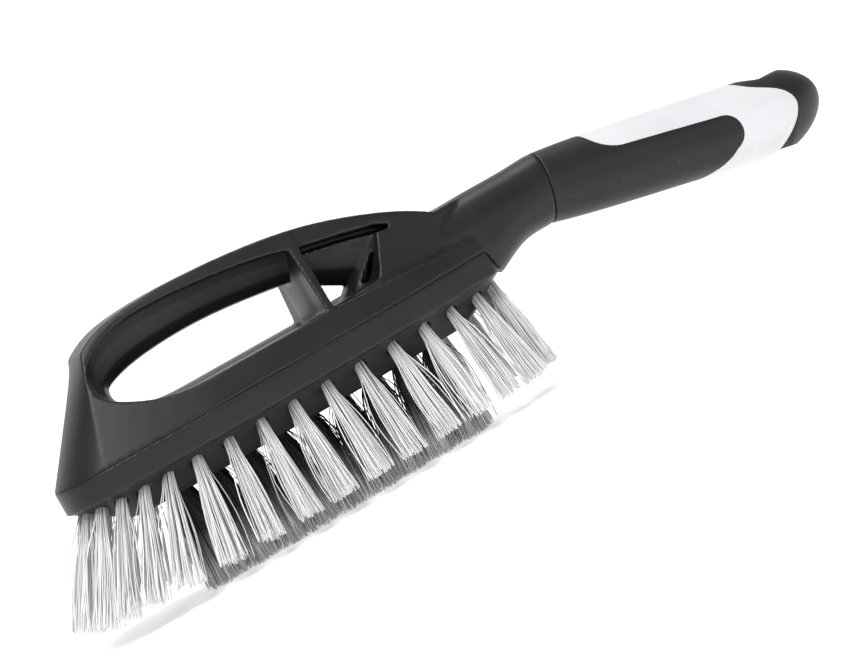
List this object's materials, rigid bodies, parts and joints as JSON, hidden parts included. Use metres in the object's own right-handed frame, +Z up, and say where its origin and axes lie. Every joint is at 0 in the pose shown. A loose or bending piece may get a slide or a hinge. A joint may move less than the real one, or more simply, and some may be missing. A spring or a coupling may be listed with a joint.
{
  "type": "wheel brush",
  "caption": "Hand brush for wheels and tyres: a finger bow over a boat-shaped head with flared bristle tufts, and a curved grip with a hanging hole.",
  "frame": {"origin": "on the surface the brush rests on, at the middle of its length and width, under the tips of the middle tufts", "axes": "+X from the nose to the end of the grip, +Z up from the bristle tips to the bow, +Y to the brush's left"},
  "size_m": [0.3372, 0.0746, 0.0993],
  "materials": {
    "frame_black": "satin",
    "grip_black": "satin",
    "light_inlay": "satin",
    "bristle": "satin",
    "staple_wire": "satin"
  },
  "bodies": {
    "root": {"bow_frame": "frame_black", "bristle_block": "frame_black", "grip_body": "grip_black", "grip_inlay": "light_inlay", "staples_inner_left": "staple_wire", "staples_inner_right": "staple_wire", "staples_left": "staple_wire", "staples_nose": "staple_wire", "staples_right": "staple_wire", "staples_tail": "staple_wire", "tufts_inner_left": "bristle", "tufts_inner_right": "bristle", "tufts_left": "bristle", "tufts_nose": "bristle", "tufts_right": "bristle", "tufts_tail": "bristle"}
  },
  "joints": []
}
